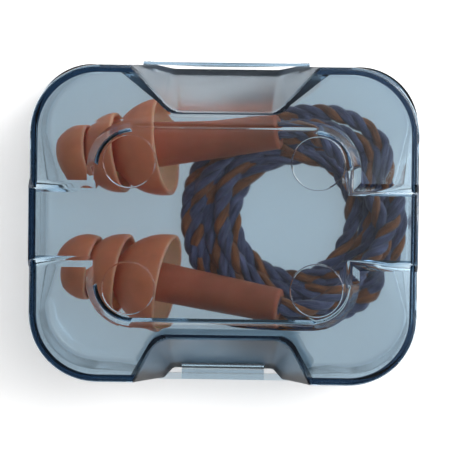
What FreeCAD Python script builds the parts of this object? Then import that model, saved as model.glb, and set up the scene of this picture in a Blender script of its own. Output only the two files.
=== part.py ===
import FreeCAD, Part
import math
import os
import Sketcher

# Corded triple-flange ear plugs in a hinged pocket case.
# Millimetres. The origin is the centre of the face the case rests on, +X runs along
# the long side, +Y points at the hinge and +Z goes up through the lid.

os.makedirs("parts", exist_ok=True)
doc = FreeCAD.newDocument("CordedEarPlugs")
sheet = doc.addObject("Spreadsheet::Sheet", "sizes")

drivingSizes = [
    ("caseLength", 54.0, "outside length of the case"),
    ("caseWidth", 44.2, "outside width of the case"),
    ("splitHeight", 9.0, "height of the line between base and lid"),
    ("splitGap", 0.1, "gap between the two rims when shut"),
    ("headroom", 0.3825, "room above the widest flanges, below the lid's corners"),
    ("panelRise", 1.8, "height of the raised panel above the lid's corners"),
    ("wall", 1.05, "thickness of the side walls"),
    ("skin", 1.0, "thickness of the floor and of the top"),
    ("lidCorner", 9.5, "corner radius of the lid in plan"),
    ("baseCorner", 8.3, "corner radius of the base in plan"),
    ("baseEdge", 0.7, "rounding of the base's lower edge"),
    ("floorEdge", 0.9, "rounding between the floor and the walls inside"),
    ("lidEdge", 0.5, "rounding of the lid's shoulder"),
    ("panelEdge", 0.45, "rounding of the raised panel's edge"),
    ("panelLength", 38.0, "length of the raised panel's middle"),
    ("panelWidth", 29.0, "width of the raised panel's middle"),
    ("panelCorner", 6.6, "corner radius of the raised panel"),
    ("panelRun", 1.15, "how far the sides of the raised panel and band slope in"),
    ("panelWall", 1.1, "thickness of the step round the raised panel"),
    ("bandWidth", 12.1, "width of the raised band from end to end"),
    ("padRadius", 3.65, "radius of each round moulding mark"),
    ("padDepth", 0.12, "depth of each round moulding mark"),
    ("padAlong", 13.05, "moulding marks from the middle, lengthwise"),
    ("padAcross", 8.8, "moulding marks from the middle, crosswise"),
    ("frontCut", 6.2, "depth of the front scoop at the outer skin"),
    ("frontCutNear", 9.1, "half width of the front scoop at its inner edge"),
    ("frontCutFar", 12.2, "half width of the front scoop at its outer edge"),
    ("notchDepth", 1.5, "depth of the front notch at the rim"),
    ("notchNear", 7.0, "half width of the front notch at its inner edge"),
    ("notchFar", 8.35, "half width of the front notch at its outer edge"),
    ("backCut", 6.3, "depth of the back scoop at the outer skin"),
    ("backCutNear", 7.65, "half width of the back scoop at its inner edge"),
    ("backCutFar", 11.6, "half width of the back scoop at its outer edge"),
    ("recessDepth", 0.5, "depth of the back recess at the rim"),
    ("recessNear", 7.4, "half width of the back recess at its inner edge"),
    ("recessFar", 9.8, "half width of the back recess at its outer edge"),
    ("scoopWall", 1.25, "wall behind a scoop, measured level"),
    ("rimSetback", 0.4, "where a scoop's inner corners start to round, at the rim"),
    ("skinSetback", 1.9, "where a scoop's inner corners start to round, at the outer skin"),
    ("scoopEdge", 0.45, "rounding where a scoop meets the outside"),
    ("lipHeight", 0.85, "height of the base's lip above the split"),
    ("lipWall", 0.43, "thickness of the lip"),
    ("lipClearance", 0.1, "gap between the lip and the lid"),
    ("lipEnd", 10.6, "half width of the lip's gaps at the scoops"),
    ("barWall", 0.85, "thickness of the latch bar"),
    ("barProud", 0.15, "latch bar beyond the front wall"),
    ("barHeight", 1.2, "height of the latch bar"),
    ("barHalf", 9.6, "half length of the latch bar"),
    ("tongueHalf", 5.8, "half length of the latch tongue"),
    ("tongueLeg", 0.5, "thickness of the tongue's leg"),
    ("tongueReach", 1.7, "how far the leg reaches below the split"),
    ("tongueTab", 1.45, "how far the thumb tab stands out"),
    ("tabWall", 0.95, "thickness of the thumb tab"),
    ("tabLift", 0.35, "gap between the thumb tab and the latch bar"),
    ("slipGap", 0.15, "running gap beside the tongue's leg"),
    ("rootGap", 0.07, "gap between the thumb tab and the lid"),
    ("strapHalf", 11.65, "half length of the hinge strap"),
    ("strapWall", 0.4, "thickness of the hinge strap"),
    ("strapHeight", 2.4, "height of the hinge strap"),
    ("strapGroove", 0.16, "depth of the folding line in the strap"),
    ("stemEnd", 33.0, "length of an ear plug"),
    ("stemRoot", 2.8, "stem radius behind the last flange"),
    ("stemTip", 2.45, "stem radius at its end"),
    ("stemEdge", 0.5, "bevel at the end of the stem"),
    ("coreRadius", 2.6, "radius of the core between the flanges"),
    ("boreGap", 0.05, "gap between the cord and its bore"),
    ("boreDepth", 8.0, "depth of the bore for the cord"),
    ("skirt", 0.6, "thickness of a flange at its rim"),
    ("tipRim", 5.4, "first flange's rim, from the tip"),
    ("tipRadius", 4.6, "first flange's rim radius"),
    ("tipHollow", 2.0, "depth of the hollow behind the first flange"),
    ("midStart", 4.9, "start of the second flange, from the tip"),
    ("midRim", 9.8, "second flange's rim, from the tip"),
    ("midRadius", 5.7, "second flange's rim radius"),
    ("midHollow", 2.6, "depth of the hollow behind the second flange"),
    ("wideStart", 9.2, "start of the third flange, from the tip"),
    ("wideRim", 16.3, "third flange's rim, from the tip"),
    ("wideRadius", 6.9, "third flange's rim radius"),
    ("wideHollow", 3.9, "depth of the hollow behind the third flange"),
    ("plugTilt", 10.8, "slope of a plug that lies on its flanges, in degrees"),
    ("restGap", 0.12, "gap between the flanges and the floor"),
    ("upperTurn", 8.5, "upper plug's heading in plan, in degrees"),
    ("upperTipGap", 1.495, "gap between the end wall and the upper plug's tip"),
    ("upperShare", 0.2448, "share of the free width that lies behind the upper plug"),
    ("lowerTurn", 9.8, "lower plug's heading in plan, in degrees"),
    ("lowerTipGap", 1.952, "gap between the end wall and the lower plug's tip"),
    ("lowerShare", 0.3745, "share of the free width that lies in front of the lower plug"),
    ("cordDiameter", 2.4, "diameter of the cord"),
    ("coilOuter", 15.4, "outer radius of the coiled cord"),
    ("coilInner", 7.9, "inner radius of the coiled cord"),
    ("coilHeight", 4.5, "height of the coiled cord"),
    ("coilCorner", 2.0, "rounding of the coiled cord's section"),
    ("coilGap", 0.75, "gap between the coil and the end wall"),
    ("coilAcross", 0.6, "middle of the coil, crosswise"),
]


class Measure:
    # a number together with the sheet expression that drives it
    def __init__(self, number, text):
        self.number = number
        self.text = text

    def __add__(self, other):
        other = measure(other)
        return Measure(self.number + other.number, f"({self.text} + {other.text})")

    def __sub__(self, other):
        other = measure(other)
        return Measure(self.number - other.number, f"({self.text} - {other.text})")

    def __mul__(self, other):
        other = measure(other)
        return Measure(self.number * other.number, f"({self.text} * {other.text})")

    def __truediv__(self, other):
        other = measure(other)
        return Measure(self.number / other.number, f"({self.text} / {other.text})")

    def __neg__(self):
        return self * -1


def measure(amount):
    return amount if isinstance(amount, Measure) else Measure(float(amount), repr(float(amount)))


def slantOf(run, rise):
    # the length of a line from its two level lengths
    return Measure(math.hypot(run.number, rise.number), f"hypot({run.text}; {rise.text})")


size = {}
for row, (alias, amount, note) in enumerate(drivingSizes, start=1):
    sheet.set(f"A{row}", note)
    sheet.set(f"B{row}", str(amount))
    sheet.setAlias(f"B{row}", alias)
    size[alias] = Measure(amount, f"sizes.{alias}")
doc.recompute()

# small helpers shared by the pieces


def newBody(name):
    return doc.addObject("PartDesign::Body", name)


def newSketch(body, name, role, height=0):
    plane = next(item for item in body.Origin.OriginFeatures if item.Role == role)
    sketch = body.newObject("Sketcher::SketchObject", name)
    sketch.AttachmentSupport = (plane, [""])
    sketch.MapMode = "FlatFace"
    if height:
        sketch.setExpression("AttachmentOffset.Base.z", measure(height).text)
    return sketch


def arcBetween(start, end, radius):
    # the short arc from start to end; a positive radius turns to the left
    middle = (start + end) / 2
    chord = end - start
    side = FreeCAD.Vector(-chord.y, chord.x, 0).normalize()
    reach = math.sqrt(radius * radius - chord.Length**2 / 4)
    centre = middle + side * math.copysign(reach, radius)
    first, last = (start, end) if radius > 0 else (end, start)
    angles = [math.atan2(point.y - centre.y, point.x - centre.x) for point in (first, last)]
    if angles[1] < angles[0]:
        angles[1] += 2 * math.pi
    circle = Part.Circle(centre, FreeCAD.Vector(0, 0, 1), abs(radius))
    return Part.ArcOfCircle(circle, *angles)


def drawOutline(sketch, corners):
    # corners are (x, y) or (x, y, radius), the radius being that of the edge that follows
    points = [FreeCAD.Vector(measure(c[0]).number, measure(c[1]).number, 0) for c in corners]
    ends = []
    for number, corner in enumerate(corners):
        start, end = points[number], points[(number + 1) % len(points)]
        if len(corner) == 3:
            radius = measure(corner[2])
            edge = sketch.addGeometry(arcBetween(start, end, radius.number), False)
            ends.append((edge, 1, 2) if radius.number > 0 else (edge, 2, 1))
            bound = sketch.addConstraint(Sketcher.Constraint("Radius", edge, abs(radius.number)))
            sketch.setExpression(f"Constraints[{bound}]", f"abs({radius.text})")
        else:
            edge = sketch.addGeometry(Part.LineSegment(start, end), False)
            ends.append((edge, 1, 2))
    for number, corner in enumerate(corners):
        edge, first, last = ends[number]
        following, followingFirst = ends[(number + 1) % len(ends)][:2]
        sketch.addConstraint(Sketcher.Constraint("Coincident", edge, last, following, followingFirst))
        for direction, place in zip(("DistanceX", "DistanceY"), corner):
            place = measure(place)
            bound = sketch.addConstraint(Sketcher.Constraint(direction, edge, first, place.number))
            sketch.setExpression(f"Constraints[{bound}]", place.text)
    return sketch


def drawRectangle(sketch, halfX, halfY, radius):
    x, y = halfX - radius, halfY - radius
    corners = [
        (x, -halfY, radius),
        (halfX, -y),
        (halfX, y, radius),
        (x, halfY),
        (-x, halfY, radius),
        (-halfX, y),
        (-halfX, -y, radius),
        (-x, -halfY),
    ]
    return drawOutline(sketch, corners)


def drawCircle(sketch, along, across, radius):
    along, across, radius = measure(along), measure(across), measure(radius)
    centre = FreeCAD.Vector(along.number, across.number, 0)
    normal = FreeCAD.Vector(0, 0, 1)
    edge = sketch.addGeometry(Part.Circle(centre, normal, radius.number), False)
    for kind, place in (("DistanceX", along), ("DistanceY", across)):
        bound = sketch.addConstraint(Sketcher.Constraint(kind, edge, 3, place.number))
        sketch.setExpression(f"Constraints[{bound}]", place.text)
    bound = sketch.addConstraint(Sketcher.Constraint("Radius", edge, radius.number))
    sketch.setExpression(f"Constraints[{bound}]", radius.text)
    return sketch


def mirrored(halfCorners):
    # an outline that is symmetric about the Y axis, from its right-hand corners
    return halfCorners + [(-corner[0], corner[1]) for corner in reversed(halfCorners)]


def extrude(body, name, sketch, length, kind="Pad", symmetric=False, down=False):
    feature = body.newObject(f"PartDesign::{kind}", name)
    feature.Profile = (sketch, [""])
    feature.setExpression("Length", measure(length).text)
    feature.SideType = "Symmetric" if symmetric else "One side"
    feature.Reversed = down
    return feature


def spin(body, name, sketch, axis, kind="Revolution"):
    feature = body.newObject(f"PartDesign::{kind}", name)
    feature.Profile = (sketch, [""])
    feature.ReferenceAxis = (sketch, [axis])
    feature.Angle = 360
    return feature


def roundEdges(body, name, radius, wanted):
    doc.recompute()
    base = body.Tip
    names = [f"Edge{n}" for n, edge in enumerate(base.Shape.Edges, start=1) if wanted(edge)]
    feature = body.newObject("PartDesign::Fillet", name)
    feature.Base = (base, names)
    feature.setExpression("Radius", radius.text)
    return feature


def levelAt(height):
    # a test for edges that lie wholly at one height
    def test(edge):
        box = edge.BoundBox
        return abs(box.ZMin - height.number) < 1e-4 and abs(box.ZMax - height.number) < 1e-4

    return test


def cosineOf(degrees):
    return Measure(math.cos(math.radians(degrees.number)), f"cos({degrees.text} * 1 deg)")


def domeArc(start, rim, radius):
    # the arc from the core to the rim that lies level with the axis at the rim
    run, rise = rim - start, radius - size["coreRadius"]
    return (run * run + rise * rise) / (rise * 2)


halfLength = size["caseLength"] / 2
halfWidth = size["caseWidth"] / 2
wall = size["wall"]
split = size["splitHeight"]
baseRim = split - size["splitGap"] / 2
lidRim = split + size["splitGap"] / 2
innerX, innerY = halfLength - wall, halfWidth - wall

# a plug lies on its flanges: the middle of its widest rim stands this far above the floor
wideDome = domeArc(size["wideStart"], size["wideRim"], size["wideRadius"])
lean = cosineOf(size["plugTilt"])
rimHeight = wideDome + (size["wideRadius"] - wideDome) * lean
flangeTop = size["skin"] + size["restGap"] + rimHeight + size["wideRadius"] * lean
shoulder = flangeTop + size["headroom"] + size["skin"]
panelTop = shoulder + size["panelRise"]
freeWidth = innerY * 2 - size["wideRadius"] * 4
flush = measure(0)
beyond = 2.0  # how far a cutting tool runs past the surface it cuts
closeEnough = 1e-3  # two places this near are the same


def cutScoop(body, name, side, rim, skin, rimHeight, skinHeight, inset):
    # a sloped scoop from its trapezium at the rim to the wider one at the outer skin,
    # where side is -1 at the front and 1 at the back, and inset thickens the wall behind it
    over = Measure(1.0, "1.0") + beyond / abs(skinHeight.number - rimHeight.number)
    sections = []
    for label, share, height in (("Rim", 0, rimHeight), ("Skin", over, None)):
        depth, near, far, setback = (low + (high - low) * share for low, high in zip(rim, skin))
        if height is None:
            height = rimHeight + (skinHeight - rimHeight) * share
        flare = (far - near) / depth
        aslant = slantOf(flare, measure(1))
        nearer = near + inset * (aslant - flare)
        farther = near + flare * (depth + beyond) + inset * aslant
        run, rise = farther - nearer, depth + inset + beyond
        slant = slantOf(run, rise)
        radius = setback * (slant + run) / rise * side
        back = (halfWidth - depth - inset) * side
        turned = nearer + setback * run / slant
        onSide = back + setback * rise / slant * side
        corners = [
            (nearer - setback, back, radius),
            (turned, onSide),
            (farther, (halfWidth + beyond) * side),
            (-farther, (halfWidth + beyond) * side),
            (-turned, onSide, radius),
            (setback - nearer, back),
        ]
        sketch = newSketch(body, name + label, "XY_Plane", height)
        sections.append(drawOutline(sketch, corners))
    feature = body.newObject("PartDesign::SubtractiveLoft", name)
    feature.Profile = (sections[0], [""])
    feature.Sections = [(sections[1], [""])]
    feature.Ruled = True
    return feature


frontRim = (size["notchDepth"], size["notchNear"], size["notchFar"], size["rimSetback"])
frontSkin = (size["frontCut"], size["frontCutNear"], size["frontCutFar"], size["skinSetback"])
backRim = (size["recessDepth"], size["recessNear"], size["recessFar"], size["rimSetback"])
backSkin = (size["backCut"], size["backCutNear"], size["backCutFar"], size["skinSetback"])


def cutBothScoops(body, rimHeight, skinHeight, inset):
    cutScoop(body, "Front" + body.Name, -1, frontRim, frontSkin, rimHeight, skinHeight, inset)
    cutScoop(body, "Back" + body.Name, 1, backRim, backSkin, rimHeight, skinHeight, inset)


def meetsOutside(level, rounding, upward):
    # a test for the edges where a scoop meets the level face, its rounding or the upright wall
    reach = halfWidth.number - rounding.number
    widest = size["frontCutFar"].number + size["scoopWall"].number

    def onSkin(spot):
        out, up = abs(spot.y) - reach, (spot.z - level.number) * upward + rounding.number
        if out < closeEnough:
            return abs(spot.z - level.number) < closeEnough
        if up < closeEnough:
            return abs(out - rounding.number) < closeEnough
        return abs(math.hypot(out, up) - rounding.number) < closeEnough

    def test(edge):
        spots, box = edge.discretize(5), edge.BoundBox
        nearest = min(abs(spot.y) for spot in spots)
        beside = max(abs(spot.x) for spot in spots) > widest
        alongPanel = nearest < size["panelWidth"].number / 2 + closeEnough
        alongWall = box.YLength < closeEnough and nearest > reach - closeEnough
        return not (beside or alongPanel or alongWall) and all(onSkin(spot) for spot in spots)

    return test


def hollowOut(label, outside, inside):
    shell = doc.addObject("Part::Cut", label)
    shell.Base = outside
    shell.Tool = inside
    shell.Label = label
    return shell


def drawLipGap(sketch, half):
    # two strips, at the front and the back, that leave out the lip behind the scoops
    reach = halfWidth + beyond
    drawOutline(sketch, [(-half, -reach), (half, -reach), (half, reach), (-half, reach)])
    return sketch


# case base: floor, walls, lip and latch bar


def makeBase():
    outside = newBody("BaseOutside")
    plan = newSketch(outside, "BasePlan", "XY_Plane")
    drawRectangle(plan, halfLength, halfWidth, size["baseCorner"])
    extrude(outside, "BaseBlock", plan, baseRim)
    roundEdges(outside, "BaseLowerEdge", size["baseEdge"], levelAt(flush))
    lipInset = wall - size["lipWall"]
    lipFoot = newSketch(outside, "LipPlan", "XY_Plane", baseRim)
    drawRectangle(lipFoot, halfLength - lipInset, halfWidth - lipInset, size["lidCorner"] - lipInset)
    extrude(outside, "LipBlock", lipFoot, size["lipHeight"])
    gap = drawLipGap(newSketch(outside, "LipGapPlan", "XY_Plane", baseRim), size["lipEnd"])
    extrude(outside, "LipGap", gap, size["lipHeight"] + beyond, "Pocket", down=True)
    cutBothScoops(outside, split, flush, flush)
    roundEdges(outside, "BaseScoopEdge", size["scoopEdge"], meetsOutside(flush, size["baseEdge"], -1))
    barPlan = newSketch(outside, "BarPlan", "XY_Plane", baseRim - size["barHeight"])
    front = -halfWidth - size["barProud"]
    chamfer = size["barProud"] * 2
    corners = [
        (size["barHalf"], front + size["barWall"]),
        (size["barHalf"], front + chamfer),
        (size["barHalf"] - chamfer, front),
    ]
    drawOutline(barPlan, mirrored(corners))
    extrude(outside, "LatchBar", barPlan, size["barHeight"])

    inside = newBody("BaseInside")
    plan = newSketch(inside, "HollowPlan", "XY_Plane", size["skin"])
    drawRectangle(plan, innerX, innerY, size["lidCorner"] - wall)
    extrude(inside, "BaseHollow", plan, split + beyond)
    cutBothScoops(inside, split, flush, size["scoopWall"])
    roundEdges(inside, "FloorEdge", size["floorEdge"], levelAt(size["skin"]))
    return hollowOut("case_base", outside, inside)


# case lid: raised panel, shoulders, walls and moulding marks


panelSlope = size["panelRun"] / (panelTop - shoulder)


def addPanel(body, name, foot, top, inset):
    # the sloped sides line up with the shoulder, where the panel has its full length and width
    sections = []
    for label, height in (("Foot", foot), ("Top", top)):
        lean = inset + panelSlope * (height - shoulder)
        halfX, halfY = size["panelLength"] / 2 - lean, size["panelWidth"] / 2 - lean
        plan = newSketch(body, name + label, "XY_Plane", height)
        sections.append(drawRectangle(plan, halfX, halfY, size["panelCorner"] - lean))
    feature = body.newObject("PartDesign::AdditiveLoft", name)
    feature.Profile = (sections[0], [""])
    feature.Sections = [(sections[1], [""])]
    feature.Ruled = True


def addBand(body, name, foot, bend, top, halfX, inset):
    # straight sides up to the bend, then the same slope as the panel's
    side = newSketch(body, name + "Side", "YZ_Plane")
    lean, leanTop = (inset + panelSlope * (height - shoulder) for height in (bend, top))
    wide, narrow = size["bandWidth"] / 2 - lean, size["bandWidth"] / 2 - leanTop
    drawOutline(side, mirrored([(wide, foot), (wide, bend), (narrow, top)]))
    extrude(body, name, side, halfX * 2, symmetric=True)


def makeLid():
    outside = newBody("LidOutside")
    plan = newSketch(outside, "LidPlan", "XY_Plane", lidRim)
    drawRectangle(plan, halfLength, halfWidth, size["lidCorner"])
    extrude(outside, "LidBlock", plan, shoulder - lidRim)
    roundEdges(outside, "ShoulderEdge", size["lidEdge"], levelAt(shoulder))
    foot = shoulder - size["skin"] / 2
    addPanel(outside, "Panel", foot, panelTop, flush)
    addBand(outside, "Band", lidRim, shoulder, panelTop, halfLength, flush)
    roundEdges(outside, "PanelEdge", size["panelEdge"], levelAt(panelTop))
    cutBothScoops(outside, split, shoulder, flush)
    level = shoulder
    roundEdges(outside, "LidScoopEdge", size["scoopEdge"], meetsOutside(level, size["lidEdge"], 1))

    inside = newBody("LidInside")
    under = split - beyond
    plan = newSketch(inside, "LidHollowPlan", "XY_Plane", under)
    drawRectangle(plan, innerX, innerY, size["lidCorner"] - wall)
    extrude(inside, "LidHollow", plan, shoulder - size["skin"] - under)
    step = size["panelWall"]
    foot = shoulder - size["skin"] * 2
    ceiling = panelTop - size["skin"]
    addPanel(inside, "PanelHollow", foot, ceiling, step)
    addBand(inside, "BandHollow", foot, foot + size["skin"] / 2, ceiling, innerX, step)
    cutBothScoops(inside, split, shoulder, size["scoopWall"])
    marks = newSketch(inside, "MarkPlan", "XY_Plane", ceiling - size["skin"] / 2)
    for along in (-size["padAlong"], size["padAlong"]):
        for across in (-size["padAcross"], size["padAcross"]):
            drawCircle(marks, along, across, size["padRadius"])
    extrude(inside, "MouldingMarks", marks, size["skin"] / 2 + size["padDepth"])

    # a rabbet inside the rim, where the base's lip goes
    rabbet = newBody("LidRabbet")
    inset = wall - size["lipWall"] - size["lipClearance"]
    plan = newSketch(rabbet, "RabbetPlan", "XY_Plane", under)
    drawRectangle(plan, halfLength - inset, halfWidth - inset, size["lidCorner"] - inset)
    extrude(rabbet, "RabbetBlock", plan, baseRim + size["lipHeight"] + size["lipClearance"] - under)
    gap = newSketch(rabbet, "RabbetGapPlan", "XY_Plane", under)
    drawLipGap(gap, size["lipEnd"] - size["lipClearance"] * 3)
    extrude(rabbet, "RabbetGap", gap, panelTop, "Pocket", down=True)
    return hollowOut("case_lid", hollowOut("LidShell", outside, inside), rabbet)


# hinge strap and latch tongue, seen from the side


def makeStrap():
    body = newBody("hinge_strap")
    side = newSketch(body, "StrapSide", "YZ_Plane")
    near, far = halfWidth, halfWidth + size["strapWall"]
    low, high = split - size["strapHeight"] / 2, split + size["strapHeight"] / 2
    groove = size["strapGroove"]
    corners = [(near, low), (far, low), (far, high), (near, high)]
    corners += [(near, split + groove), (near + groove, split), (near, split - groove)]
    drawOutline(side, corners)
    extrude(body, "StrapStrip", side, size["strapHalf"] * 2, symmetric=True)
    return body


def makeTongue():
    body = newBody("latch_tongue")
    side = newSketch(body, "TongueSide", "YZ_Plane")
    slope = (size["frontCut"] - size["notchDepth"]) / (shoulder - split)
    face = -halfWidth + size["notchDepth"]
    low = size["tabLift"]
    high = low + size["tabWall"]
    inner = face - size["slipGap"]
    outer = inner - size["tongueLeg"]
    foot = split - size["tongueReach"]
    corners = [
        (face + slope * low - size["rootGap"], split + low),
        (face + slope * high - size["rootGap"], split + high),
        (face - size["tongueTab"], split + high),
        (face - size["tongueTab"], split + low),
        (outer, split + low),
        (outer, foot),
        (inner, foot),
        (inner, split + low),
    ]
    drawOutline(side, corners)
    extrude(body, "TongueStrip", side, size["tongueHalf"] * 2, symmetric=True)
    return body


# ear plugs, drawn from the tip towards the stem and turned about their own axis


def addFlange(body, name, start, rim, radius, hollow, tip):
    end = rim - hollow
    core = size["coreRadius"]
    inside = radius - size["skirt"]
    rise = inside - core
    hollowArc = (hollow * hollow + rise * rise) / (rise * 2)
    corners = [(start, 0), (end, 0), (end, core, -hollowArc), (rim, inside)]
    if tip:
        dome = (rim * rim + radius * radius) / (rim * 2)
        corners += [(rim, radius, dome)]
    else:
        dome = domeArc(start, rim, radius)
        corners += [(rim, radius, dome), (start, core)]
    spin(body, name, drawOutline(newSketch(body, name + "Side", "XZ_Plane"), corners), "H_Axis")


def plugPlacement(turn, tipGap, share, side):
    # the widest flange rests on the floor near its rim, with the stem sloping up behind it
    heading = cosineOf(turn)
    run = (size["wideRim"] * lean * heading).number
    along = (tipGap - innerX).number + run
    across = (innerY - size["wideRadius"] - freeWidth * share).number * side
    height = (size["skin"] + size["restGap"] + rimHeight).number
    level = FreeCAD.Rotation(FreeCAD.Vector(0, 0, 1), turn.number * side)
    slope = FreeCAD.Rotation(FreeCAD.Vector(0, 1, 0), -size["plugTilt"].number)
    facing = level.multiply(slope)
    axis = facing.multVec(FreeCAD.Vector(1, 0, 0))
    tip = FreeCAD.Vector(along, across, height) - axis * size["wideRim"].number
    return FreeCAD.Placement(tip, facing), axis


def makePlug(label, placement):
    body = newBody(label)
    tip = (measure(0), size["tipRim"], size["tipRadius"], size["tipHollow"])
    middle = (size["midStart"], size["midRim"], size["midRadius"], size["midHollow"])
    wide = (size["wideStart"], size["wideRim"], size["wideRadius"], size["wideHollow"])
    addFlange(body, label + "TipFlange", *tip, tip=True)
    addFlange(body, label + "MiddleFlange", *middle, tip=False)
    addFlange(body, label + "WideFlange", *wide, tip=False)
    front = size["tipRim"] - size["tipHollow"] - size["coreRadius"] / 2
    root = size["wideRim"] - size["wideHollow"] / 2
    stemEnd, edge = size["stemEnd"], size["stemEdge"]
    bore = size["cordDiameter"] / 2 + size["boreGap"]
    corners = [
        (front, 0),
        (stemEnd - size["boreDepth"], 0),
        (stemEnd - size["boreDepth"], bore),
        (stemEnd, bore),
        (stemEnd, size["stemTip"] - edge),
        (stemEnd - edge, size["stemTip"]),
        (root, size["stemRoot"]),
        (root - size["coreRadius"] / 2, size["coreRadius"]),
        (front, size["coreRadius"]),
    ]
    stem = drawOutline(newSketch(body, label + "StemSide", "XZ_Plane"), corners)
    spin(body, label + "Stem", stem, "H_Axis")
    body.Placement = placement
    return body


def makeAnchor(label, placement):
    # the stiffened end of the cord, glued into the stem's bore
    body = newBody(label)
    section = newSketch(body, label + "Section", "YZ_Plane", size["stemEnd"] - size["boreDepth"])
    drawCircle(section, 0, 0, size["cordDiameter"] / 2)
    extrude(body, label + "Rod", section, size["boreDepth"])
    body.Placement = placement
    return body


# cord: one closed ring for the coil and a bent tube for each loose end


def makeCoil():
    body = newBody("cord_coil")
    low = size["skin"] + size["restGap"]
    high = low + size["coilHeight"]
    inner, outer, corner = size["coilInner"], size["coilOuter"], size["coilCorner"]
    corners = [
        (outer - corner, low, corner),
        (outer, low + corner),
        (outer, high - corner, corner),
        (outer - corner, high),
        (inner + corner, high, corner),
        (inner, high - corner),
        (inner, low + corner, corner),
        (inner + corner, low),
    ]
    spin(body, "CoilRing", drawOutline(newSketch(body, "CoilSection", "XZ_Plane"), corners), "V_Axis")
    body.setExpression("Placement.Base.x", (innerX - size["coilGap"] - size["coilOuter"]).text)
    body.setExpression("Placement.Base.y", size["coilAcross"].text)
    return body


def bentPath(points):
    # straight runs joined by tangent arcs, each as large as its two runs allow
    edges, radii, start = [], [], points[0]
    for before, corner, after in zip(points, points[1:], points[2:]):
        inward, onward = corner - before, after - corner
        turn = inward.getAngle(onward)
        reach = arcShare * min(inward.Length, onward.Length)
        radius = reach / math.tan(turn / 2)
        inward.normalize()
        onward.normalize()
        first, last = corner - inward * reach, corner + onward * reach
        middle = corner + (onward - inward).normalize() * radius * (1 / math.cos(turn / 2) - 1)
        edges.append(Part.LineSegment(start, first).toShape())
        edges.append(Part.Arc(first, middle, last).toShape())
        radii.append(round(radius, 1))
        start = last
    edges.append(Part.LineSegment(start, points[-1]).toShape())
    return Part.Wire(edges), radii


def makeLead(label, placement, axis, route):
    stemFace = placement.multVec(FreeCAD.Vector(size["stemEnd"].number, 0, 0))
    points = [stemFace, stemFace + axis * exitRun] + [FreeCAD.Vector(*place) for place in route]
    path, radii = bentPath(points)
    radius = size["cordDiameter"].number / 2
    section = Part.Wire(Part.Circle(stemFace, axis, radius).toShape())
    tube = path.makePipeShell([section], True, False)
    lead = doc.addObject("Part::Feature", label)
    lead.Shape = tube
    share = tube.Volume / (math.pi * radius**2 * path.Length)
    print(label, "length", round(path.Length, 1), "radii", radii, "volume share", round(share, 4))
    return lead


arcShare = 0.45  # how much of the shorter run beside it a bend takes up
exitRun = 6.0  # the cord leaves the stem straight
upperRoute = [(19.2, 12.4, 10.4), (22.4, 8.4, 7.7), (22.6, 3.2, 4.2)]
lowerRoute = [(18.9, -11.2, 10.4), (22.2, -7.6, 7.8), (22.8, -2.6, 4.1)]

upperPlacement, upperAxis = plugPlacement(size["upperTurn"], size["upperTipGap"], size["upperShare"], 1)
lowerPlacement, lowerAxis = plugPlacement(size["lowerTurn"], size["lowerTipGap"], size["lowerShare"], -1)

pieces = [
    makeBase(),
    makeLid(),
    makeStrap(),
    makeTongue(),
    makePlug("plug_upper", upperPlacement),
    makePlug("plug_lower", lowerPlacement),
    makeAnchor("cord_anchor_upper", upperPlacement),
    makeAnchor("cord_anchor_lower", lowerPlacement),
    makeCoil(),
    makeLead("cord_lead_upper", upperPlacement, upperAxis, upperRoute),
    makeLead("cord_lead_lower", lowerPlacement, lowerAxis, lowerRoute),
]
doc.recompute()

for item in doc.Objects:
    if {"Invalid", "Error"} & set(item.State):
        raise RuntimeError(f"{item.Name} could not be built")
for piece in pieces:
    if piece.Shape.isNull() or not piece.Shape.isValid() or len(piece.Shape.Solids) != 1:
        raise RuntimeError(f"{piece.Label} is not one sound solid")
for piece in pieces:
    piece.Shape.exportStep(f"parts/{piece.Label}.step")
    print(piece.Label, round(piece.Shape.Volume, 1), "mm3")
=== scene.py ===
import math

import bmesh
import bpy
import numpy as np
from mathutils import Matrix, Vector


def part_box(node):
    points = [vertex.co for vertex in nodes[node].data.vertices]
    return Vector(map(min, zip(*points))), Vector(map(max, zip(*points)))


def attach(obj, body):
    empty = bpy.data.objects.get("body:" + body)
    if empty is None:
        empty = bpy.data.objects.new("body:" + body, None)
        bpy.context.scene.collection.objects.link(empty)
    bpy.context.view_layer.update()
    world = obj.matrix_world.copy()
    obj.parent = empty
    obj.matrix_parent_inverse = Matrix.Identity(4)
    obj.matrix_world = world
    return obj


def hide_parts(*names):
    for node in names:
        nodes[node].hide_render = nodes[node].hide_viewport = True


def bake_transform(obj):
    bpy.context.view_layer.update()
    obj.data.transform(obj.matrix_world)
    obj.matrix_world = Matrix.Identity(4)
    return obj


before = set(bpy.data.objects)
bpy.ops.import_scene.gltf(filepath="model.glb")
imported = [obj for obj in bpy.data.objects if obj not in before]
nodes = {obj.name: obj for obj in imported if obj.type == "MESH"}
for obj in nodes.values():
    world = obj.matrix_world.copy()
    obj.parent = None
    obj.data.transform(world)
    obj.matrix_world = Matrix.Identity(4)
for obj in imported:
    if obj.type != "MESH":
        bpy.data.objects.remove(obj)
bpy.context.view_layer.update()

scene = bpy.context.scene
mm = 0.001
print("frame loaded:", len(nodes), "nodes")


# materials

def newMaterial(name):
    material = bpy.data.materials.new(name)
    material.use_nodes = True
    tree = material.node_tree
    return material, tree, tree.nodes["Principled BSDF"], tree.nodes["Material Output"]


def addNode(tree, kind, inputs=None, **settings):
    node = tree.nodes.new(kind)
    for name, value in settings.items():
        setattr(node, name, value)
    for name, value in (inputs or {}).items():
        if hasattr(value, "links"):
            tree.links.new(value, node.inputs[name])
        else:
            node.inputs[name].default_value = value
    return node


def addNoise(tree, source, scale, detail=3.0, roughness=0.5):
    noise = addNode(tree, "ShaderNodeTexNoise", {"Scale": scale, "Detail": detail, "Roughness": roughness})
    tree.links.new(source, noise.inputs["Vector"])
    return noise.outputs["Fac"]


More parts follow.
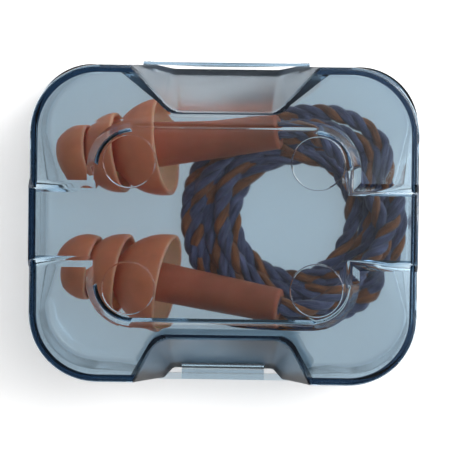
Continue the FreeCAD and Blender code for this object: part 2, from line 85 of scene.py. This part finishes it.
def remap(tree, value, low, high, fromLow=0.3, fromHigh=0.7):
    node = addNode(tree, "ShaderNodeMapRange", {"Value": value})
    for name, number in (("From Min", fromLow), ("From Max", fromHigh), ("To Min", low), ("To Max", high)):
        node.inputs[name].default_value = number
    return node.outputs["Result"]


tint = dict(
    density=285.0, colour=(0.1, 0.34, 0.51), skin=(0.93, 0.98, 1.0), ior=1.49,
    smooth=0.04, hazy=0.09, ripple=0.00001,
    scoopNear=14.7 * mm, scoopFar=22.05 * mm, scoopWide=13.2 * mm, matte=0.38, veryMatte=0.5,
    # the scoops' copies of this plastic: a thinner tint on the back scoop is painted light, a deeper tint
    # with a darker skin on the front scoop is painted shade
    backLitShare=0.7, frontShadedShare=1.6, frontSkin=(0.62, 0.76, 0.84),
    markPlace=(13.05 * mm, 8.8 * mm, 0.0), markRadius=3.65 * mm, markLine=0.13 * mm, markRise=0.05 * mm,
)


def addMarks(tree, place):
    # the round moulding marks: the same thin raised ring in each quarter of the panel
    quarter = addNode(tree, "ShaderNodeVectorMath", {0: place}, operation="ABSOLUTE").outputs[0]
    away = addNode(tree, "ShaderNodeVectorMath", {0: quarter}, operation="SUBTRACT")
    away.inputs[1].default_value = tint["markPlace"]
    level = addNode(tree, "ShaderNodeVectorMath", {0: away.outputs[0]}, operation="MULTIPLY")
    level.inputs[1].default_value = (1, 1, 0)
    radius = addNode(tree, "ShaderNodeVectorMath", {0: level.outputs[0]}, operation="LENGTH")
    sizes = {0: radius.outputs["Value"], 1: tint["markRadius"]}
    beside = addNode(tree, "ShaderNodeMath", sizes, operation="SUBTRACT").outputs[0]
    off = addNode(tree, "ShaderNodeMath", {0: beside}, operation="ABSOLUTE").outputs[0]
    return remap(tree, off, 1.0, 0.0, 0.0, tint["markLine"])


def makeTintedPlastic(name, density, smooth, hazy, skin=tint["skin"], marked=False):
    # clear moulded polypropylene: the tint is in its thickness, the skin is polished with a faint haze
    material, tree, shader, output = newMaterial(name)
    place = addNode(tree, "ShaderNodeTexCoord").outputs["Object"]
    shader.inputs["Base Color"].default_value = (*skin, 1)
    shader.inputs["Transmission Weight"].default_value = 1.0
    shader.inputs["IOR"].default_value = tint["ior"]
    haze = addNoise(tree, place, 260.0, 4.0)
    tree.links.new(remap(tree, haze, smooth, hazy), shader.inputs["Roughness"])
    flow = addNoise(tree, place, 90.0, 2.0)
    bump = addNode(tree, "ShaderNodeBump", {"Strength": 0.12, "Distance": tint["ripple"], "Height": flow})
    if marked:
        ring = {"Strength": 0.8, "Distance": tint["markRise"], "Height": addMarks(tree, place)}
        bump = addNode(tree, "ShaderNodeBump", {**ring, "Normal": bump.outputs["Normal"]})
    tree.links.new(bump.outputs["Normal"], shader.inputs["Normal"])
    depth = addNode(tree, "ShaderNodeVolumeAbsorption")
    depth.inputs["Color"].default_value = (*tint["colour"], 1)
    depth.inputs["Density"].default_value = density
    tree.links.new(depth.outputs["Volume"], output.inputs["Volume"])
    return material


# part colours of the plug: pale hollows and rims are painted light through the thin skirts, the deep core
# and stem are painted shade in the thick parts, and the stem is darker towards its end
elastomer = dict(
    dome=(0.98, 0.27, 0.125), rim=(0.96, 0.38, 0.23), hollow=(0.98, 0.56, 0.34), core=(0.88, 0.09, 0.03),
    stemRoot=(0.56, 0.14, 0.07), stemEnd=(0.46, 0.125, 0.06), scatter=0.45, reach=0.003,
)


def makeElastomer():
    # soft thermoplastic elastomer: thin skirts let light through, the solid stem stays deep in colour; the
    # per-point shade colour also paints that light into the thin skirts and paints shade into the thick
    # core and stem
    material, tree, shader, output = newMaterial("orangeElastomer")
    place = addNode(tree, "ShaderNodeTexCoord").outputs["Object"]
    # the shade attribute carries the painted light and painted shade of each plug part
    shade = addNode(tree, "ShaderNodeAttribute", attribute_name="shade").outputs["Color"]
    mottle = remap(tree, addNoise(tree, place, 260.0, 5.0, 0.6), 0.86, 1.12)
    level = addNode(tree, "ShaderNodeHueSaturation", {"Color": shade, "Value": mottle})
    tree.links.new(level.outputs["Color"], shader.inputs["Base Color"])
    shader.inputs["Subsurface Weight"].default_value = elastomer["scatter"]
    shader.inputs["Subsurface Radius"].default_value = (1.0, 0.35, 0.16)
    shader.inputs["Subsurface Scale"].default_value = elastomer["reach"]
    shader.inputs["IOR"].default_value = 1.45
    bloom = addNoise(tree, place, 900.0, 4.0)
    tree.links.new(remap(tree, bloom, 0.42, 0.6), shader.inputs["Roughness"])
    grain = addNoise(tree, place, 2600.0, 3.0)
    bump = addNode(tree, "ShaderNodeBump", {"Strength": 0.25, "Distance": 0.00004, "Height": grain})
    tree.links.new(bump.outputs["Normal"], shader.inputs["Normal"])
    return material


def makeYarn(name, colour, shade):
    # spun yarn: strands wind round each ply and fine fibres run along them, read from the ply's own map
    material, tree, shader, output = newMaterial(name)
    along = addNode(tree, "ShaderNodeUVMap", uv_map="yarn").outputs["UV"]
    place = addNode(tree, "ShaderNodeTexCoord").outputs["Object"]
    slanted = addNode(tree, "ShaderNodeMapping", {"Vector": along})
    slanted.inputs["Rotation"].default_value = (0, 0, math.radians(38))
    slanted.inputs["Scale"].default_value = (0.7, 7.0, 1.0)
    strands = addNoise(tree, slanted.outputs["Vector"], 1.0, 4.0, 0.6)
    fine = addNode(tree, "ShaderNodeMapping", {"Vector": along})
    fine.inputs["Rotation"].default_value = (0, 0, math.radians(30))
    fine.inputs["Scale"].default_value = (2.0, 30.0, 1.0)
    fibres = addNoise(tree, fine.outputs["Vector"], 1.0, 6.0, 0.7)
    both = addNode(tree, "ShaderNodeMath", {0: strands, 1: fibres}, operation="MULTIPLY_ADD")
    tree.links.new(strands, both.inputs[2])
    # the darker shade colour goes where the strand pattern, which also raises the bump, lies low: painted
    # shade in the grooves between strands
    share = remap(tree, both.outputs[0], 0.0, 1.0, 0.45, 1.05)
    colours = addNode(tree, "ShaderNodeMix", {"Factor": share}, data_type="RGBA")
    colours.inputs["A"].default_value = (*shade, 1)
    colours.inputs["B"].default_value = (*colour, 1)
    worn = remap(tree, addNoise(tree, place, 420.0, 3.0), 0.7, 1.25)
    level = addNode(tree, "ShaderNodeHueSaturation", {"Color": colours.outputs["Result"], "Value": worn})
    tree.links.new(level.outputs["Color"], shader.inputs["Base Color"])
    shader.inputs["Roughness"].default_value = 0.8
    shader.inputs["Sheen Weight"].default_value = 0.25
    shader.inputs["Sheen Roughness"].default_value = 0.5
    lay = {"Strength": 0.9, "Distance": 0.18 * mm, "Height": both.outputs[0]}
    bump = addNode(tree, "ShaderNodeBump", lay)
    tree.links.new(bump.outputs["Normal"], shader.inputs["Normal"])
    return material


def makeGlue():
    # the cord's end, stiff with clear adhesive
    material, tree, shader, output = newMaterial("gluedYarn")
    place = addNode(tree, "ShaderNodeTexCoord").outputs["Object"]
    soaked = addNoise(tree, place, 1800.0, 4.0)
    colours = addNode(tree, "ShaderNodeMix", {"Factor": remap(tree, soaked, 0.0, 1.0)}, data_type="RGBA")
    colours.inputs["A"].default_value = (0.03, 0.035, 0.09, 1)
    colours.inputs["B"].default_value = (0.10, 0.11, 0.22, 1)
    tree.links.new(colours.outputs["Result"], shader.inputs["Base Color"])
    tree.links.new(remap(tree, soaked, 0.2, 0.5), shader.inputs["Roughness"])
    return material


polished = (tint["smooth"], tint["hazy"])
frosted = (tint["matte"], tint["veryMatte"])
# lit and shaded copies of the same matte plastic for the scoops: the back one thinned in tint as painted
# light, the front one deepened and given a darker skin as painted shade
paintedLightDensity = tint["density"] * tint["backLitShare"]
paintedShadeDensity = tint["density"] * tint["frontShadedShare"]
plasticShell = makeTintedPlastic("tintedPlastic", tint["density"], *polished)
plasticLid = makeTintedPlastic("tintedPlasticLid", tint["density"], *polished, marked=True)
plasticMatteLit = makeTintedPlastic("matteTintedPlasticPaintedLight", paintedLightDensity, *frosted, (1, 1, 1))
plasticMatteShaded = makeTintedPlastic("matteTintedPlasticPaintedShade", paintedShadeDensity, *frosted, tint["frontSkin"])
plasticStrap = makeTintedPlastic("creasedPlastic", tint["density"] * 2, 0.12, 0.3)
rubber = makeElastomer()
blueYarn = makeYarn("blueYarn", (0.15, 0.15, 0.27), (0.035, 0.035, 0.085))
orangeYarn = makeYarn("orangeYarn", (0.42, 0.13, 0.035), (0.13, 0.035, 0.01))
glue = makeGlue()
print("materials made")


# shared mesh helpers

def finishPiece(mesh, name, material, body, replaced=(), smoothAngle=35):
    piece = bpy.data.objects.new(name, mesh)
    scene.collection.objects.link(piece)
    if material is not None:
        mesh.materials.append(material)
    mesh.shade_smooth()
    if smoothAngle:
        mesh.set_sharp_from_angle(angle=math.radians(smoothAngle))
    if body:
        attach(piece, body)
    if replaced:
        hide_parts(*replaced)
    return piece


def paintNode(name, material):
    node = nodes[name]
    node.data.materials.clear()
    node.data.materials.append(material)
    return node


# case: base and lid keep the shape of their solids, with merged points and smooth shading

def inScoop(face):
    # the sloped faces of the scoops, which the mould leaves matte
    middle = face.calc_center_median()
    beside = abs(middle.x) < tint["scoopWide"] and tint["scoopNear"] < abs(middle.y) < tint["scoopFar"]
    upright = abs(face.normal.y) > 0.999
    return beside and abs(face.normal.z) < 0.985 and not upright


def smoothCopy(name, newName, body, plastic):
    bm = bmesh.new()
    bm.from_mesh(nodes[name].data)
    bmesh.ops.remove_doubles(bm, verts=bm.verts, dist=0.004 * mm)
    bmesh.ops.dissolve_degenerate(bm, dist=0.004 * mm, edges=bm.edges)
    bmesh.ops.dissolve_limit(bm, angle_limit=math.radians(0.15), verts=bm.verts, edges=bm.edges)
    for face in bm.faces:
        # back scoop faces take the lighter copy as painted light, front scoop faces take the darker copy as
        # painted shade
        if inScoop(face):
            face.material_index = 1 if face.calc_center_median().y > 0 else 2
    mesh = bpy.data.meshes.new(newName)
    bm.to_mesh(mesh)
    bm.free()
    piece = finishPiece(mesh, newName, plastic, body, (name,), 30)
    mesh.materials.append(plasticMatteLit)
    mesh.materials.append(plasticMatteShaded)
    # large flat faces keep their own normal, so that the panels don't act as lenses
    flat = piece.modifiers.new("flatPanels", "WEIGHTED_NORMAL")
    flat.mode = "FACE_AREA"
    flat.weight = 100
    flat.keep_sharp = True
    return piece


smoothCopy("case_base", "caseBase", "base", plasticShell)
smoothCopy("case_lid", "caseLid", "lid", plasticLid)
paintNode("latch_tongue", plasticShell)
print("case made")


# hinge strap

strap = dict(bow=0.5 * mm, outward=0.9, inward=0.55, cutsAlong=28, cutsUp=8)


def makeStrap():
    low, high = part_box("hinge_strap")
    middle = (low + high) / 2
    bm = bmesh.new()
    bmesh.ops.create_cube(bm, size=1.0)
    bmesh.ops.scale(bm, vec=high - low, verts=bm.verts)
    long = [e for e in bm.edges if abs((e.verts[0].co - e.verts[1].co).x) > 1e-5]
    bmesh.ops.subdivide_edges(bm, edges=long, cuts=strap["cutsAlong"], use_grid_fill=True)
    tall = [e for e in bm.edges if abs((e.verts[0].co - e.verts[1].co).z) > 1e-5]
    bmesh.ops.subdivide_edges(bm, edges=tall, cuts=strap["cutsUp"], use_grid_fill=True)
    half = (high.x - low.x) / 2
    for vert in bm.verts:
        outward = (vert.co.x / half) ** 2
        fold = 1 - (2 * vert.co.z / (high.z - low.z)) ** 2
        vert.co.y += strap["bow"] * (outward * strap["outward"] - strap["inward"]) * fold
    bmesh.ops.translate(bm, vec=middle, verts=bm.verts)
    bmesh.ops.recalc_face_normals(bm, faces=bm.faces)
    mesh = bpy.data.meshes.new("hingeStrap")
    bm.to_mesh(mesh)
    bm.free()
    slot, replaced = "tinted_clear_plastic", ("hinge_strap",)
    piece = finishPiece(mesh, "hingeStrap", plasticStrap, None, replaced, 50)
    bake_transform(piece)


makeStrap()
print("strap made")


# ear plugs: one outline, turned about the plug's axis

plugSizes = dict(
    stemEnd=33.0, stemTip=2.45, stemRoot=2.8, stemRound=0.55, core=2.6, skirt=0.6, bore=1.25, boreDepth=2.5,
    flanges=[(0.0, 5.4, 4.6, 2.0), (4.9, 9.8, 5.7, 2.6), (9.2, 16.3, 6.9, 3.9)],
    steps=96, tilt=10.8,
)
plugPlaces = dict(
    plug_upper=dict(name="earPlugUpper", turn=8.5, phase=0.4),
    plug_lower=dict(name="earPlugLower", turn=-9.8, phase=2.1),
)


def arcPoints(start, end, centre, count, clockwise):
    a = math.atan2(start[1] - centre[1], start[0] - centre[0])
    b = math.atan2(end[1] - centre[1], end[0] - centre[0])
    if clockwise and b > a:
        b -= 2 * math.pi
    if not clockwise and b < a:
        b += 2 * math.pi
    radius = math.hypot(start[0] - centre[0], start[1] - centre[1])
    turns = [a + (b - a) * i / count for i in range(1, count)]
    return [(centre[0] + radius * math.cos(t), centre[1] + radius * math.sin(t)) for t in turns]


def plugOutline():
    # the half section of a plug from its tip to its bore, each point with the part it belongs to
    size = plugSizes
    core, lip = size["core"], size["skirt"] / 2
    outline = [(0.0, 0.0, "dome")]

    def add(part, *points):
        outline.extend((*point, part) for point in points)

    for number, (start, rim, radius, hollow) in enumerate(size["flanges"]):
        if number == 0:
            dome = (rim * rim + radius * radius) / (2 * rim)
            centre = (dome, 0.0)
        else:
            run, rise = rim - start, radius - core
            dome = (run * run + rise * rise) / (2 * rise)
            centre = (rim, radius - dome)
            add("core", (start - 0.1, core))
            add("dome", (start + 0.05, core + 0.05))
        first = outline[-1][:2]
        outer, inner = (rim, radius), (rim, radius - 2 * lip)
        add("dome", *arcPoints(first, outer, centre, 14, True), (rim - lip * 0.5, radius))
        edge = rim - lip * 0.2
        add("rim", *arcPoints((edge, radius), (edge, radius - 2 * lip), (edge, radius - lip), 5, True))
        rise = inner[1] - core
        hollowArc = (hollow * hollow + rise * rise) / (2 * rise)
        add("hollow", (rim - lip * 0.5, inner[1]))
        add("hollow", *arcPoints(inner, (rim - hollow, core), (rim, inner[1] - hollowArc), 9, False))
        add("core", (rim - hollow, core))
    root = size["flanges"][-1][1] - size["flanges"][-1][3] / 2
    end, tip, edge = size["stemEnd"], size["stemTip"], size["stemRound"]
    add("stem", (root - 1.0, core + 0.03), (root, size["stemRoot"]), (root + 5, size["stemRoot"] - 0.09))
    add("stem", (root + 11, size["stemRoot"] - 0.2), (end - edge - 1, tip + 0.02), (end - edge, tip))
    add("stem", *arcPoints((end - edge, tip), (end, tip - edge), (end - edge, tip - edge), 4, True))
    add("stem", (end, tip - edge), (end, size["bore"] + 0.15), (end - 0.15, size["bore"]))
    add("stem", (end - size["boreDepth"], size["bore"]), (end - size["boreDepth"], 0.0))
    return outline


def paintedLightAndShadeOf(part, along):
    # painted light and shade: deep colour in the solid parts as painted shade, pale where a thin skirt is
    # seen from behind as painted light shining through it; the stem is darker towards its end
    if part != "stem":
        return elastomer[part]
    start, end = plugSizes["flanges"][-1][1], plugSizes["stemEnd"]
    share = min(1.0, max(0.0, (along - start) / (end - start)))
    return [a + (b - a) * share for a, b in zip(elastomer["stemRoot"], elastomer["stemEnd"])]


def paintLightAndShade(bm, outline):
    layer = bm.verts.layers.float_color.new("shade")
    section = np.array([point[:2] for point in outline])
    for vert in bm.verts:
        spot = (vert.co.x / mm, math.hypot(vert.co.y, vert.co.z) / mm)
        nearest = int(np.argmin(((section - spot) ** 2).sum(1)))
        vert[layer] = (*paintedLightAndShadeOf(outline[nearest][2], spot[0]), 1)


def makePlug(node, place):
    bm = bmesh.new()
    outline = plugOutline()
    corners = [bm.verts.new((along * mm, 0, radius * mm)) for along, radius, part in outline]
    edges = [bm.edges.new(pair) for pair in zip(corners, corners[1:])]
    bmesh.ops.spin(bm, geom=corners + edges, axis=(1, 0, 0), cent=(0, 0, 0), angle=2 * math.pi,
                   steps=plugSizes["steps"], use_merge=True, use_duplicate=False)
    bmesh.ops.remove_doubles(bm, verts=bm.verts, dist=0.001 * mm)
    bmesh.ops.recalc_face_normals(bm, faces=bm.faces)
    paintLightAndShade(bm, outline)
    # soft skirts are never quite round
    for vert in bm.verts:
        radius = math.hypot(vert.co.y, vert.co.z)
        if radius > plugSizes["core"] * 1.15 * mm:
            angle, phase = math.atan2(vert.co.z, vert.co.y), place["phase"]
            give = 0.006 * math.sin(2 * angle + phase) + 0.003 * math.sin(3 * angle + 2 * phase)
            share = min(1.0, (radius / mm - plugSizes["core"]) / 2.5)
            vert.co.y *= 1 + give * share
            vert.co.z *= 1 + give * share - 0.002 * share
    tilt = Matrix.Rotation(-math.radians(plugSizes["tilt"]), 4, "Y")
    turn = Matrix.Rotation(math.radians(place["turn"]), 4, "Z") @ tilt
    bmesh.ops.transform(bm, matrix=turn, verts=bm.verts)
    low = Vector([min(v.co[i] for v in bm.verts) for i in range(3)])
    high = Vector([max(v.co[i] for v in bm.verts) for i in range(3)])
    cadLow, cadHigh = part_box(node)
    move = (cadLow + cadHigh - low - high) / 2
    bmesh.ops.translate(bm, vec=move, verts=bm.verts)
    mesh = bpy.data.meshes.new(place["name"])
    bm.to_mesh(mesh)
    bm.free()
    finishPiece(mesh, place["name"], rubber, "ear_plugs", (node,), 60)
    axis = turn.to_3x3() @ Vector((1, 0, 0))
    place["tip"], place["axis"] = move, axis
    place["stemFace"] = move + axis * plugSizes["stemEnd"] * mm


for node, place in plugPlaces.items():
    makePlug(node, place)
for name in ("cord_anchor_upper", "cord_anchor_lower"):
    paintNode(name, glue)
print("ear plugs made")


# cord: its route, the way it settles in the tray, and its plies

cord = dict(
    diameter=2.4 * mm, centre=(9.8 * mm, 0.6 * mm), exitRun=6.0 * mm,
    upperRoute=[(19.2, 12.4, 10.4), (22.4, 8.4, 7.7)],
    lowerRoute=[(22.2, -7.6, 7.8), (18.9, -11.2, 10.4)],
    slots=[(13.4, 4.7), (14.9, 2.5), (12.7, 2.4), (10.6, 2.4), (9.0, 3.6), (10.9, 4.7), (13.1, 4.6),
           (14.6, 4.8)],
    perTurn=18, firstAngle=10.0, lastAngle=-16.0,
    plies=3, plyRadius=0.61 * mm, plyOffset=0.6 * mm, pitch=7.2 * mm, step=0.36 * mm,
)
# how the loose turns settle, in millimetres: each scoop wall has its side, foot, slope and half width
heap = dict(
    rounds=260, packed=0.9, push=0.35, mostPush=0.4, bend=0.35, sink=0.02, pull=0.45, floor=1.12,
    wall=1.05, wallGap=0.15, plugGap=0.1, stemFrom=16.0, flangeFrom=8.0, flangeTo=17.0, flange=6.9,
    scoopWalls=((1, 14.4, 0.64, 9.6), (-1, 14.5, 0.52, 11.2)),
)


def coilPoints():
    # clockwise turns, each in its own place in the heap, easing from one place to the next
    slots, perTurn = cord["slots"], cord["perTurn"]
    turns = len(slots) - 1
    total = turns * perTurn + round(perTurn * (cord["firstAngle"] - cord["lastAngle"]) / 360)
    points = []
    for step in range(total + 1):
        angle = math.radians(cord["firstAngle"] - 360.0 * step / perTurn)
        share = step / perTurn
        number = min(int(share), turns - 1)
        ease = min(1.0, max(0.0, (share - number - 0.7) / 0.3))
        ease = ease * ease * (3 - 2 * ease)
        low, high = slots[number], slots[number + 1]
        radius = low[0] + (high[0] - low[0]) * ease
        height = low[1] + (high[1] - low[1]) * ease
        radius += 0.55 * math.sin(2 * angle + 1.7 * share) + 0.4 * math.sin(3 * angle + 2.3 * share)
        height += 0.35 * math.sin(2 * angle + 2.9 * share)
        points.append((cord["centre"][0] / mm + radius * math.cos(angle),
                       cord["centre"][1] / mm + radius * math.sin(angle), height))
    return points


def stemPush(points, place, reach):
    # keeps points clear of one plug's stem and flanges
    tip, axis = np.array(place["tip"]) / mm, np.array(place["axis"])
    along = (points - tip) @ axis
    radial = points - tip - along[:, None] * axis
    distance = np.linalg.norm(radial, axis=1) + 1e-9
    onStem = (along > heap["stemFrom"]) & (along < plugSizes["stemEnd"] + 0.2)
    onFlange = (along > heap["flangeFrom"]) & (along <= heap["flangeTo"])
    need = np.where(onStem, plugSizes["stemRoot"] + reach, 0.0)
    need = np.where(onFlange, heap["flange"] + reach, need)
    push = np.clip(need - distance, 0, None)
    return points + radial / distance[:, None] * push[:, None]


def settle(points, held):
    # lets the loose turns find room: they keep their length, bend softly, sink, and push each other off
    points = np.array(points, float)
    count = len(points)
    spacing = np.linalg.norm(np.diff(points, axis=0), axis=1)
    thick = cord["diameter"] / mm * heap["packed"]
    free = np.ones(count, bool)
    free[:held] = free[-held:] = False
    fixed = points.copy()
    high = np.array(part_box("case_base")[1]) / mm
    near, far = np.triu_indices(count, 3)
    half = thick / 2
    for attempt in range(heap["rounds"]):
        gap = points[near] - points[far]
        distance = np.linalg.norm(gap, axis=1)
        close = distance < thick
        apart = gap[close] / (distance[close][:, None] + 1e-9)
        push = apart * (thick - distance[close])[:, None] * heap["push"]
        move = np.zeros_like(points)
        np.add.at(move, near[close], push)
        np.add.at(move, far[close], -push)
        bend = np.zeros_like(points)
        bend[1:-1] = (points[:-2] + points[2:]) / 2 - points[1:-1]
        smooth = np.zeros_like(points)
        smooth[2:-2] = bend[2:-2] - (bend[1:-3] + bend[3:-1]) / 2
        points += np.clip(move, -heap["mostPush"], heap["mostPush"]) + smooth * heap["bend"]
        points[:, 2] -= heap["sink"]
        for again in range(3):
            step = np.diff(points, axis=0)
            length = np.linalg.norm(step, axis=1) + 1e-9
            shift = step * ((length - spacing) / length)[:, None] * heap["pull"]
            points[:-1] += shift
            points[1:] -= shift
        points[:, 2] = np.maximum(points[:, 2], heap["floor"] + half)
        points[:, 0] = np.minimum(points[:, 0], high[0] - heap["wall"] - half - heap["wallGap"])
        for place in plugPlaces.values():
            points = stemPush(points, place, half + heap["plugGap"])
        # the sloped wall of each scoop stands in the tray
        for side, edge, slope, wide in heap["scoopWalls"]:
            wall = edge + slope * points[:, 2] - half
            inside = np.abs(points[:, 0]) < wide
            level = points[:, 1] * side
            points[:, 1] = np.where(inside & (level > wall), wall * side, points[:, 1])
        points[~free] = fixed[~free]
    return points


def cordRoute():
    upper, lower = plugPlaces["plug_upper"], plugPlaces["plug_lower"]
    run, shares = cord["exitRun"], (0, 0.5, 1)
    start = [np.array(upper["stemFace"] + upper["axis"] * run * share) / mm for share in shares]
    end = [np.array(lower["stemFace"] + lower["axis"] * run * share) / mm for share in reversed(shares)]
    points = start + [np.array(p) for p in cord["upperRoute"] + coilPoints() + cord["lowerRoute"]] + end
    return settle(points, 2)


def makeRoute():
    curve = bpy.data.curves.new("cordRoute", "CURVE")
    curve.dimensions = "3D"
    curve.resolution_u = 12
    spline = curve.splines.new("NURBS")
    points = cordRoute() * mm
    spline.points.add(len(points) - 1)
    for place, point in zip(points, spline.points):
        point.co = (*place, 1)
    spline.order_u = 3
    spline.use_endpoint_u = True
    holder = bpy.data.objects.new("cordRoute", curve)
    scene.collection.objects.link(holder)
    bpy.context.view_layer.update()
    mesh = bpy.data.meshes.new_from_object(holder)
    line = np.array([v.co for v in mesh.vertices])
    bpy.data.objects.remove(holder)
    bpy.data.meshes.remove(mesh)
    return line


def evenly(line, step):
    length = np.concatenate([[0], np.cumsum(np.linalg.norm(np.diff(line, axis=0), axis=1))])
    places = np.linspace(0, length[-1], round(length[-1] / step) + 1)
    return np.stack([np.interp(places, length, line[:, i]) for i in range(3)], 1), length[-1]


def makeCord():
    line, length = evenly(makeRoute(), cord["step"])
    ahead = np.gradient(line, axis=0)
    ahead /= np.linalg.norm(ahead, axis=1)[:, None]
    side = np.cross(ahead[0], (0, 0, 1))
    sides = []
    for direction in ahead:
        side = side - direction * (side @ direction)
        side = side / np.linalg.norm(side)
        sides.append(side)
    sides = np.array(sides)
    ups = np.cross(ahead, sides)
    travelled = np.linspace(0, length, len(line))
    bm = bmesh.new()
    yarnMap = bm.loops.layers.uv.new("yarn")
    for ply in range(cord["plies"]):
        # the lay tightens and loosens a little along the cord
        slack = 0.9 * np.sin(travelled / (11 * mm)) + 0.7 * np.sin(travelled / (5.3 * mm) + 1)
        turn = 2 * math.pi * (travelled / cord["pitch"] + ply / cord["plies"]) + slack
        swell = 1 + 0.12 * np.sin(travelled / (1.9 * mm) + 2.4 * ply)
        swell = swell + 0.1 * np.sin(travelled / (0.83 * mm) + ply)
        fat = 1 + 0.09 * np.sin(travelled / (0.71 * mm) + 1.3 * ply)
        fat = fat + 0.08 * np.sin(travelled / (1.63 * mm) + 4 * ply)
        outward = np.cos(turn)[:, None] * sides + np.sin(turn)[:, None] * ups
        centre = line + cord["plyOffset"] * swell[:, None] * outward
        curve = bpy.data.curves.new("ply", "CURVE")
        curve.dimensions = "3D"
        curve.bevel_depth = cord["plyRadius"]
        curve.bevel_resolution = 2
        curve.use_fill_caps = True
        spline = curve.splines.new("POLY")
        spline.points.add(len(centre) - 1)
        for place, thickness, point in zip(centre, fat, spline.points):
            point.co = (*place, 1)
            point.radius = thickness
        holder = bpy.data.objects.new("ply", curve)
        scene.collection.objects.link(holder)
        bpy.context.view_layer.update()
        mesh = bpy.data.meshes.new_from_object(holder)
        bpy.data.objects.remove(holder)
        first = len(bm.faces)
        bm.from_mesh(mesh)
        bm.faces.ensure_lookup_table()
        ring = round(len(mesh.vertices) / len(centre))
        bpy.data.meshes.remove(mesh)
        offset = bm.faces[first].verts[0].index if first else 0
        for face in bm.faces[first:]:
            face.material_index = 1 if ply == 0 else 0
            face.smooth = True
            for loop in face.loops:
                index = loop.vert.index - offset
                loop[yarnMap].uv = ((index // ring) * cord["step"] / (2 * mm), (index % ring) / ring)
        bm.verts.index_update()
    mesh = bpy.data.meshes.new("twistedCord")
    bm.to_mesh(mesh)
    bm.free()
    mesh.materials.append(blueYarn)
    mesh.materials.append(orangeYarn)
    piece = finishPiece(mesh, "twistedCord", None, "ear_plugs",
                        ("cord_coil", "cord_lead_upper", "cord_lead_lower"), 0)
    print("cord made:", round(length, 4), "m,", len(mesh.polygons), "faces")


makeCord()


# floor, lights and camera

stage = dict(
    floor=(0.93, 0.93, 0.93), glow=0.5, low=0.12, high=2.4, skyward=(0.62, 0.42, 0.66), edge=0.6, key=14.0,
)


def makeFloor():
    bm = bmesh.new()
    bmesh.ops.create_grid(bm, x_segments=1, y_segments=1, size=1.5)
    bmesh.ops.translate(bm, vec=(0, 0, -0.02 * mm), verts=bm.verts)
    mesh = bpy.data.meshes.new("floor")
    bm.to_mesh(mesh)
    bm.free()
    material, tree, shader, output = newMaterial("paleFloor")
    shader.inputs["Base Color"].default_value = (*stage["floor"], 1)
    shader.inputs["Roughness"].default_value = 0.9
    shader.inputs["Emission Color"].default_value = (1, 1, 1, 1)
    shader.inputs["Emission Strength"].default_value = stage["glow"]
    mesh.materials.append(material)
    floor = bpy.data.objects.new("floor", mesh)
    scene.collection.objects.link(floor)


def addSoftbox(name, power, place, width, aim=(0, 0, 0)):
    lamp = bpy.data.lights.new(name, "AREA")
    lamp.energy = power
    lamp.size = width
    holder = bpy.data.objects.new(name, lamp)
    holder.location = place
    holder.rotation_euler = (Vector(aim) - Vector(place)).to_track_quat("-Z", "Y").to_euler()
    scene.collection.objects.link(holder)


view = dict(place=(13.0, 25.0, 433.0), aim=(0.83, -0.41, 17.0), roll=0.7, lens=237.0)


def makeCamera():
    camera = bpy.data.cameras.new("camera")
    camera.lens = view["lens"]
    camera.clip_start = 0.01
    place, aim = Vector(view["place"]) * mm, Vector(view["aim"]) * mm
    backward = (place - aim).normalized()
    roll = math.radians(view["roll"])
    up = Vector((-math.sin(roll), math.cos(roll), 0))
    right = up.cross(backward).normalized()
    up = backward.cross(right)
    holder = bpy.data.objects.new("camera", camera)
    holder.matrix_world = Matrix.Translation(place) @ Matrix((right, up, backward)).transposed().to_4x4()
    scene.collection.objects.link(holder)
    scene.camera = holder


makeFloor()
world = bpy.data.worlds.new("studio")
world.use_nodes = True
world.node_tree.nodes["Background"].inputs["Color"].default_value = (1, 1, 1, 1)
toward = addNode(world.node_tree, "ShaderNodeTexCoord").outputs["Generated"]
facing = addNode(world.node_tree, "ShaderNodeVectorMath", {0: toward}, operation="DOT_PRODUCT")
facing.inputs[1].default_value = stage["skyward"]
glow = remap(world.node_tree, facing.outputs["Value"], stage["low"], stage["high"], stage["edge"], 1.0)
world.node_tree.links.new(glow, world.node_tree.nodes["Background"].inputs["Strength"])
scene.world = world
addSoftbox("keySoftbox", stage["key"], (0.95, 0.5, 0.95), 0.9)
makeCamera()
scene.view_settings.view_transform = "Standard"
scene.cycles.max_bounces = 24
scene.cycles.transmission_bounces = 20
scene.cycles.transparent_max_bounces = 16
print("stage made")
